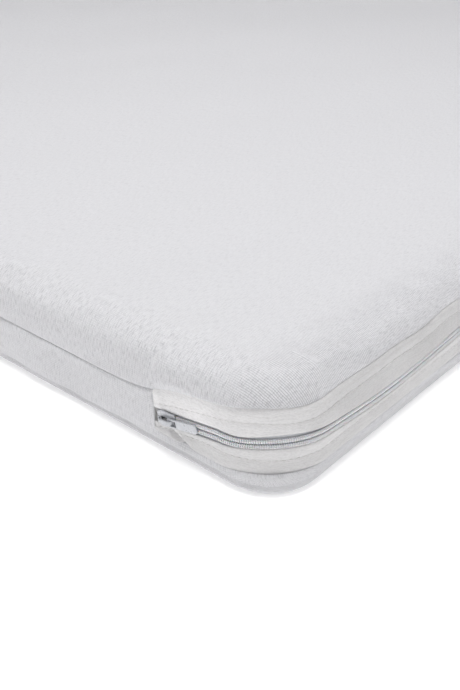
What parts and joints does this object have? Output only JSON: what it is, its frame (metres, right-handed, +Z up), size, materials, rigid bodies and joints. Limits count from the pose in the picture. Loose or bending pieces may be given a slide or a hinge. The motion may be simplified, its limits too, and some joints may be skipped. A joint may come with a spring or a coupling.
{
  "type": "pressure relief mattress",
  "caption": "Thin rectangular foam mattress in a zip-off knitted cover, with rounded corners, a side seam and a coil zip set between woven facings.",
  "frame": {"origin": "centre of the underside", "axes": "+X along the length, away from the end where the slider is parked; +Z up; the zip runs along the -Y side"},
  "size_m": [2.0052, 1.0006, 0.07],
  "materials": {
    "base_foam": "matte",
    "comfort_foam": "matte",
    "sleeve_cloth": "matte",
    "knit_cloth": "matte",
    "facing_cloth": "matte",
    "zip_tape": "matte",
    "zip_nylon": "satin",
    "white_metal": "gloss",
    "seam_thread": "satin"
  },
  "bodies": {
    "mattress": {"foam_base": "base_foam", "foam_comfort_layer": "comfort_foam", "inner_sleeve": "sleeve_cloth", "cover_top_panel": "knit_cloth", "cover_bottom_panel": "knit_cloth", "main_seam_allowance": "seam_thread", "lower_seam_allowance": "seam_thread", "zip_facing_upper": "facing_cloth", "zip_facing_lower": "facing_cloth", "zip_tape_upper": "zip_tape", "zip_tape_lower": "zip_tape", "zip_coil_upper": "zip_nylon", "zip_coil_lower": "zip_nylon", "top_stop_upper": "white_metal", "top_stop_lower": "white_metal", "bottom_stop": "white_metal", "topstitch_upper": "seam_thread", "topstitch_lower": "seam_thread", "facing_end_seam_slider_end": "seam_thread", "facing_end_seam_far_end": "seam_thread"},
    "zip_slider": {"slider_body": "white_metal"},
    "zip_pull": {"pull_tab": "white_metal"}
  },
  "joints": [
    {"name": "zip_slide", "type": "slide", "parent": "mattress", "child": "zip_slider", "axis": [0, -0.9889, 0.1483], "range_m": [0, 0.028]},
    {"name": "pull_tab_hinge", "type": "hinge", "parent": "zip_slider", "child": "zip_pull", "pos_m": [-1.00245, -0.42437, 0.0261], "axis": [0, -0.1483, -0.9889], "range_deg": [0, 140]}
  ]
}
